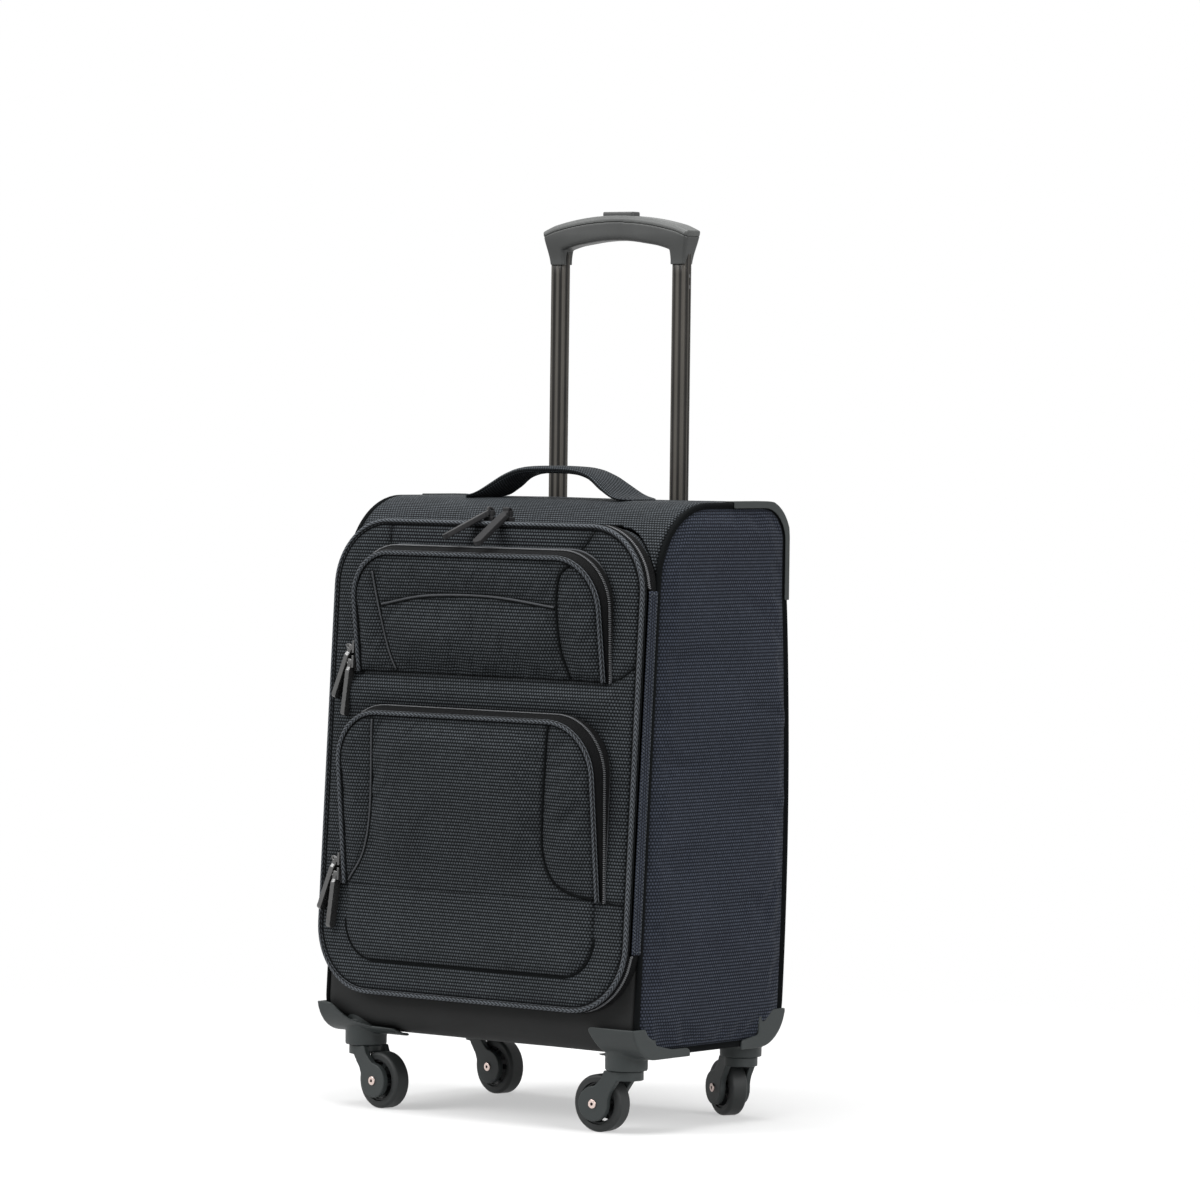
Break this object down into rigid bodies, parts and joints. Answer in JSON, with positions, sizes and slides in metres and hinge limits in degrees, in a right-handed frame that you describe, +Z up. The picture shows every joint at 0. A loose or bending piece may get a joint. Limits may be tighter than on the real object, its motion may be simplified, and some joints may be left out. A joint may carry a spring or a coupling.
{
  "type": "softside upright suitcase",
  "caption": "Upright softside suitcase with a book-opening zip lid, two front pockets, a carry handle, a telescopic trolley handle and swivel casters.",
  "frame": {"origin": "on the floor under the centre of the whole object's bounding box, all four wheels standing on z = 0", "axes": "+Z up along the trolley tubes, -Y towards the front with the lid and its pockets, +X towards the side that the lid hinges on"},
  "size_m": [0.3608, 0.2444, 0.7982],
  "materials": {
    "shell_fabric": "matt woven",
    "piping": "twill braid",
    "lining": "smooth woven",
    "zip_tape": "coil zip",
    "zip_metal": "satin black",
    "dark_plastic": "fine matt grain",
    "grip_plastic": "fine matt grain",
    "tube_metal": "dark satin",
    "steel": "plain",
    "bright_rivet": "bright",
    "tyre": "smooth tread"
  },
  "bodies": {
    "case": {"back_panel": "shell_fabric", "top_panel": "shell_fabric", "bottom_tray": "dark_plastic", "left_side_panel": "shell_fabric", "right_side_panel": "shell_fabric", "side_piping": "piping", "corner_guards": "dark_plastic", "front_frame": "shell_fabric", "main_zip_case": "zip_tape", "lid_hinge_strip": "shell_fabric", "carry_handle": "shell_fabric", "handle_cup": "dark_plastic", "back_liner": "lining", "trolley_base": "dark_plastic", "outer_tubes": "tube_metal", "caster_castings": "dark_plastic", "kingpins": "steel"},
    "lid": {"lid_panel": "shell_fabric", "lid_rim": "shell_fabric", "lid_piping": "piping", "main_zip_lid": "zip_tape", "pocket_gussets": "shell_fabric", "lower_pocket_foot": "shell_fabric"},
    "upper_flap": {"upper_flap": "shell_fabric", "upper_flap_piping": "piping"},
    "lower_flap": {"lower_flap": "shell_fabric", "lower_flap_piping": "piping"},
    "middle_stage": {"middle_tubes": "tube_metal"},
    "inner_stage": {"inner_tubes": "tube_metal", "grip_body": "grip_plastic", "grip_cover": "grip_plastic", "tube_rivets": "bright_rivet", "button_springs": "steel"},
    "button": {"grip_button": "grip_plastic"},
    "rods": {"release_rods": "steel"},
    "main_sliders": {"main_sliders": "zip_metal"},
    "main_pull_a": {"main_pull_a": "zip_metal"},
    "main_pull_b": {"main_pull_b": "zip_metal"},
    "upper_sliders": {"upper_sliders": "zip_metal"},
    "upper_pull_a": {"upper_pull_a": "zip_metal"},
    "upper_pull_b": {"upper_pull_b": "zip_metal"},
    "lower_sliders": {"lower_sliders": "zip_metal"},
    "lower_pull_a": {"lower_pull_a": "zip_metal"},
    "lower_pull_b": {"lower_pull_b": "zip_metal"},
    "front_left_caster": {"front_left_fork": "dark_plastic", "front_left_axle": "bright_rivet"},
    "front_left_wheel": {"front_left_hub": "dark_plastic", "front_left_tyre": "tyre"},
    "front_right_caster": {"front_right_fork": "dark_plastic", "front_right_axle": "bright_rivet"},
    "front_right_wheel": {"front_right_hub": "dark_plastic", "front_right_tyre": "tyre"},
    "rear_left_caster": {"rear_left_fork": "dark_plastic", "rear_left_axle": "bright_rivet"},
    "rear_left_wheel": {"rear_left_hub": "dark_plastic", "rear_left_tyre": "tyre"},
    "rear_right_caster": {"rear_right_fork": "dark_plastic", "rear_right_axle": "bright_rivet"},
    "rear_right_wheel": {"rear_right_hub": "dark_plastic", "rear_right_tyre": "tyre"}
  },
  "joints": [
    {"name": "middle_stage_slide", "type": "slide", "parent": "case", "child": "middle_stage", "axis": [0, 0, 1], "range_m": [0, 0.22]},
    {"name": "inner_stage_slide", "type": "slide", "parent": "middle_stage", "child": "inner_stage", "axis": [0, 0, 1], "range_m": [-0.2497, 0]},
    {"name": "button_press", "type": "slide", "parent": "inner_stage", "child": "button", "axis": [0, 0, -1], "range_m": [0, 0.0025], "stiffness_N_per_m": 900, "springref_m": -0.004, "deforming": ["button_springs"]},
    {"name": "rod_release", "type": "slide", "parent": "inner_stage", "child": "rods", "axis": [0, 0, -1], "range_m": [0, 0.0025]},
    {"name": "lid_hinge", "type": "hinge", "parent": "case", "child": "lid", "pos_m": [0.1775, -0.08836, 0.31273], "axis": [0, 0.0576, 0.9983], "range_deg": [0, 165]},
    {"name": "upper_flap_hinge", "type": "hinge", "parent": "lid", "child": "upper_flap", "pos_m": [0, -0.09648, 0.38832], "axis": [1, 0, 0], "range_deg": [0, 80]},
    {"name": "lower_flap_hinge", "type": "hinge", "parent": "lid", "child": "lower_flap", "pos_m": [0, -0.1073, 0.20063], "axis": [1, 0, 0], "range_deg": [0, 80]},
    {"name": "main_zip_slide", "type": "slide", "parent": "lid", "child": "main_sliders", "axis": [1, 0, 0], "range_m": [-0.1, 0.092]},
    {"name": "main_pull_a_hinge", "type": "hinge", "parent": "main_sliders", "child": "main_pull_a", "pos_m": [-0.0056, -0.07571, 0.53216], "axis": [0.8192, -0.5726, 0.033], "range_deg": [-150, 0]},
    {"name": "main_pull_b_hinge", "type": "hinge", "parent": "main_sliders", "child": "main_pull_b", "pos_m": [0.0137, -0.07571, 0.53216], "axis": [0.9976, -0.0696, 0.004], "range_deg": [-150, 0]},
    {"name": "upper_zip_slide", "type": "slide", "parent": "lid", "child": "upper_sliders", "axis": [0, 0.0576, 0.9983], "range_m": [0, 0.036]},
    {"name": "upper_pull_a_hinge", "type": "hinge", "parent": "upper_sliders", "child": "upper_pull_a", "pos_m": [-0.1469, -0.09647, 0.40936], "axis": [0, -0.9983, 0.0576], "range_deg": [-130, 4.5]},
    {"name": "upper_pull_b_hinge", "type": "hinge", "parent": "upper_sliders", "child": "upper_pull_b", "pos_m": [-0.1469, -0.09721, 0.39638], "axis": [0, -0.9983, 0.0576], "range_deg": [-13, 4]},
    {"name": "lower_zip_slide", "type": "slide", "parent": "lid", "child": "lower_sliders", "axis": [0, 0.0576, 0.9983], "range_m": [0, 0.082]},
    {"name": "lower_pull_a_hinge", "type": "hinge", "parent": "lower_sliders", "child": "lower_pull_a", "pos_m": [-0.1519, -0.10729, 0.22167], "axis": [0, -0.9983, 0.0576], "range_deg": [-130, 4.5]},
    {"name": "lower_pull_b_hinge", "type": "hinge", "parent": "lower_sliders", "child": "lower_pull_b", "pos_m": [-0.1519, -0.10804, 0.20869], "axis": [0, -0.9983, 0.0576], "range_deg": [-13, 4]},
    {"name": "front_left_swivel", "type": "hinge", "parent": "case", "child": "front_left_caster", "pos_m": [-0.1488, -0.06952, 0.05], "axis": [0, 0, 1], "continuous": true},
    {"name": "front_left_wheel_spin", "type": "hinge", "parent": "front_left_caster", "child": "front_left_wheel", "pos_m": [-0.12399, -0.07257, 0.025], "axis": [0.1219, 0.9925, 0], "continuous": true},
    {"name": "front_right_swivel", "type": "hinge", "parent": "case", "child": "front_right_caster", "pos_m": [0.1488, -0.06952, 0.05], "axis": [0, 0, 1], "continuous": true},
    {"name": "front_right_wheel_spin", "type": "hinge", "parent": "front_right_caster", "child": "front_right_wheel", "pos_m": [0.12383, -0.07083, 0.025], "axis": [0.0523, -0.9986, 0], "continuous": true},
    {"name": "rear_left_swivel", "type": "hinge", "parent": "case", "child": "rear_left_caster", "pos_m": [-0.1488, 0.09088, 0.05], "axis": [0, 0, 1], "continuous": true},
    {"name": "rear_left_wheel_spin", "type": "hinge", "parent": "rear_left_caster", "child": "rear_left_wheel", "pos_m": [-0.12411, 0.08697, 0.025], "axis": [0.1564, 0.9877, 0], "continuous": true},
    {"name": "rear_right_swivel", "type": "hinge", "parent": "case", "child": "rear_right_caster", "pos_m": [0.1488, 0.09088, 0.05], "axis": [0, 0, 1], "continuous": true},
    {"name": "rear_right_wheel_spin", "type": "hinge", "parent": "rear_right_caster", "child": "rear_right_wheel", "pos_m": [0.12633, 0.10184, 0.025], "axis": [-0.4384, -0.8988, 0], "continuous": true}
  ],
  "couplings": [
    {"joint": "rod_release", "follows": "button_press", "ratio": 1}
  ]
}
